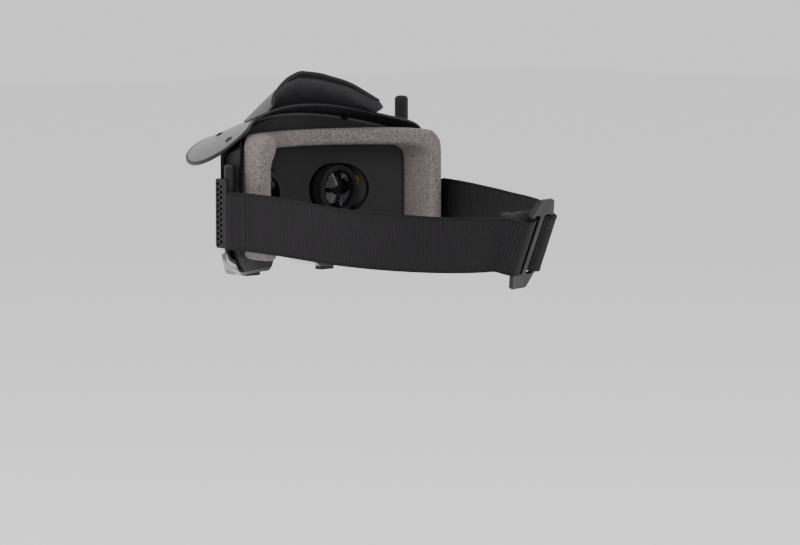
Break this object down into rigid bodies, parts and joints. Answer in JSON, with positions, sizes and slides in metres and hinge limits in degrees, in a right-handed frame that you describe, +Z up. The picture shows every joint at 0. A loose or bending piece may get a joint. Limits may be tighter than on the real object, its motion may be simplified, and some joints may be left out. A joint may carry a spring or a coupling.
{
  "type": "fpv goggles",
  "caption": "Head-worn video goggles with a curved sun hood, forehead flap, foam face pad, sliding eyepieces, hinged perforated strap arms and a ribbed elastic head strap.",
  "frame": {"origin": "middle of the brow where the face pad meets the forehead, at eye height", "axes": "+X to the wearer's left, the wearer faces -Y, +Z up"},
  "size_m": [0.1838, 0.2648, 0.1289],
  "materials": {
    "shell_camo": "satin, splinter camouflage print",
    "black_abs": "fine moulded grain",
    "grey_gloss": "glossy vacuum-formed sheet",
    "blackened_steel": "blackened",
    "leatherette": "matte grained",
    "foam": "grained foam",
    "hook_tape": "hook and loop tape",
    "black_rubber": "moulded",
    "key_grey": "moulded",
    "steel": "ground",
    "lens_glass": "polished",
    "display_glass": "polished",
    "webbing": "ribbed elastic webbing",
    "pad_fabric": "brushed loop fabric",
    "circuit_board": "solder mask",
    "tin_can": "tinned",
    "gold_brass": "gold plated",
    "socket_black": "moulded"
  },
  "bodies": {
    "housing": {"aerial_jack": "gold_brass", "aerial_jack_free": "gold_brass", "av_jack": "socket_black", "back_pad": "pad_fabric", "board_screws": "blackened_steel", "dc_jack": "socket_black", "eye_frame": "black_abs", "face_pad": "foam", "fan_frame": "black_abs", "forehead_flap": "leatherette", "front_shell": "shell_camo", "hinge_pin_left": "steel", "hinge_pin_right": "steel", "hood_rivets": "blackened_steel", "hood_studs": "blackened_steel", "ipd_rails": "steel", "main_board": "circuit_board", "nose_flap": "black_rubber", "pad_fastener": "hook_tape", "processor": "tin_can", "rear_buckle": "black_abs", "receiver_module": "tin_can", "strap_left": "webbing", "strap_right": "webbing", "strap_weave": "webbing", "sun_hood": "grey_gloss", "switch_board": "circuit_board", "vent_grille": "black_abs"},
    "outrigger_left": {"outrigger_left": "black_abs", "strap_end_left": "webbing"},
    "outrigger_right": {"outrigger_right": "black_abs", "strap_end_right": "webbing"},
    "eyepiece_left": {"eyepiece_left": "black_abs", "lens_left": "lens_glass", "display_left": "display_glass"},
    "eyepiece_right": {"eyepiece_right": "black_abs", "lens_right": "lens_glass", "display_right": "display_glass"},
    "focus_ring_left": {"focus_ring_left": "black_rubber"},
    "focus_ring_right": {"focus_ring_right": "black_rubber"},
    "power_button": {"power_button": "black_rubber"},
    "record_button": {"record_button": "black_rubber"},
    "menu_key": {"menu_key": "key_grey"},
    "fan_rotor": {"fan_rotor": "black_abs"},
    "antenna_collar": {"antenna_collar": "black_abs", "antenna_pin": "steel"},
    "antenna_whip": {"antenna_whip": "black_rubber"}
  },
  "joints": [
    {"name": "outrigger_left_hinge", "type": "hinge", "parent": "housing", "child": "outrigger_left", "pos_m": [0.084, 0.024, 0], "axis": [0, 0, 1], "range_deg": [-10, 3]},
    {"name": "outrigger_right_hinge", "type": "hinge", "parent": "housing", "child": "outrigger_right", "pos_m": [-0.084, 0.024, 0], "axis": [0, 0, -1], "range_deg": [-10, 3]},
    {"name": "eyepiece_left_slide", "type": "slide", "parent": "housing", "child": "eyepiece_left", "axis": [1, 0, 0], "range_m": [-0.003, 0.003]},
    {"name": "eyepiece_right_slide", "type": "slide", "parent": "housing", "child": "eyepiece_right", "axis": [-1, 0, 0], "range_m": [-0.003, 0.003]},
    {"name": "focus_left_turn", "type": "hinge", "parent": "eyepiece_left", "child": "focus_ring_left", "pos_m": [0.031, -0.014, 0], "axis": [0, 1, 0], "range_deg": [-60, 60]},
    {"name": "focus_right_turn", "type": "hinge", "parent": "eyepiece_right", "child": "focus_ring_right", "pos_m": [-0.031, -0.014, 0], "axis": [0, 1, 0], "range_deg": [-60, 60]},
    {"name": "power_button_press", "type": "slide", "parent": "housing", "child": "power_button", "axis": [-0.7383, 0.6744, 0], "range_m": [0, 0.0008], "stiffness_N_per_m": 400},
    {"name": "record_button_press", "type": "slide", "parent": "housing", "child": "record_button", "axis": [-0.7383, 0.6744, 0], "range_m": [0, 0.0008], "stiffness_N_per_m": 400},
    {"name": "menu_key_press", "type": "slide", "parent": "housing", "child": "menu_key", "axis": [-0.7383, 0.6744, 0], "range_m": [0, 0.0008], "stiffness_N_per_m": 400},
    {"name": "fan_spin", "type": "hinge", "parent": "housing", "child": "fan_rotor", "pos_m": [0, -0.0374, 0.006], "axis": [0, 1, 0], "continuous": true},
    {"name": "antenna_turn", "type": "hinge", "parent": "housing", "child": "antenna_collar", "pos_m": [-0.07377, 0.00335, 0.00398], "axis": [-0.7383, -0.6744, 0], "range_deg": [-5, 180]},
    {"name": "antenna_fold", "type": "hinge", "parent": "antenna_collar", "child": "antenna_whip", "pos_m": [-0.08905, -0.01061, 0.00398], "axis": [0.6744, -0.7383, 0], "range_deg": [0, 90]}
  ]
}
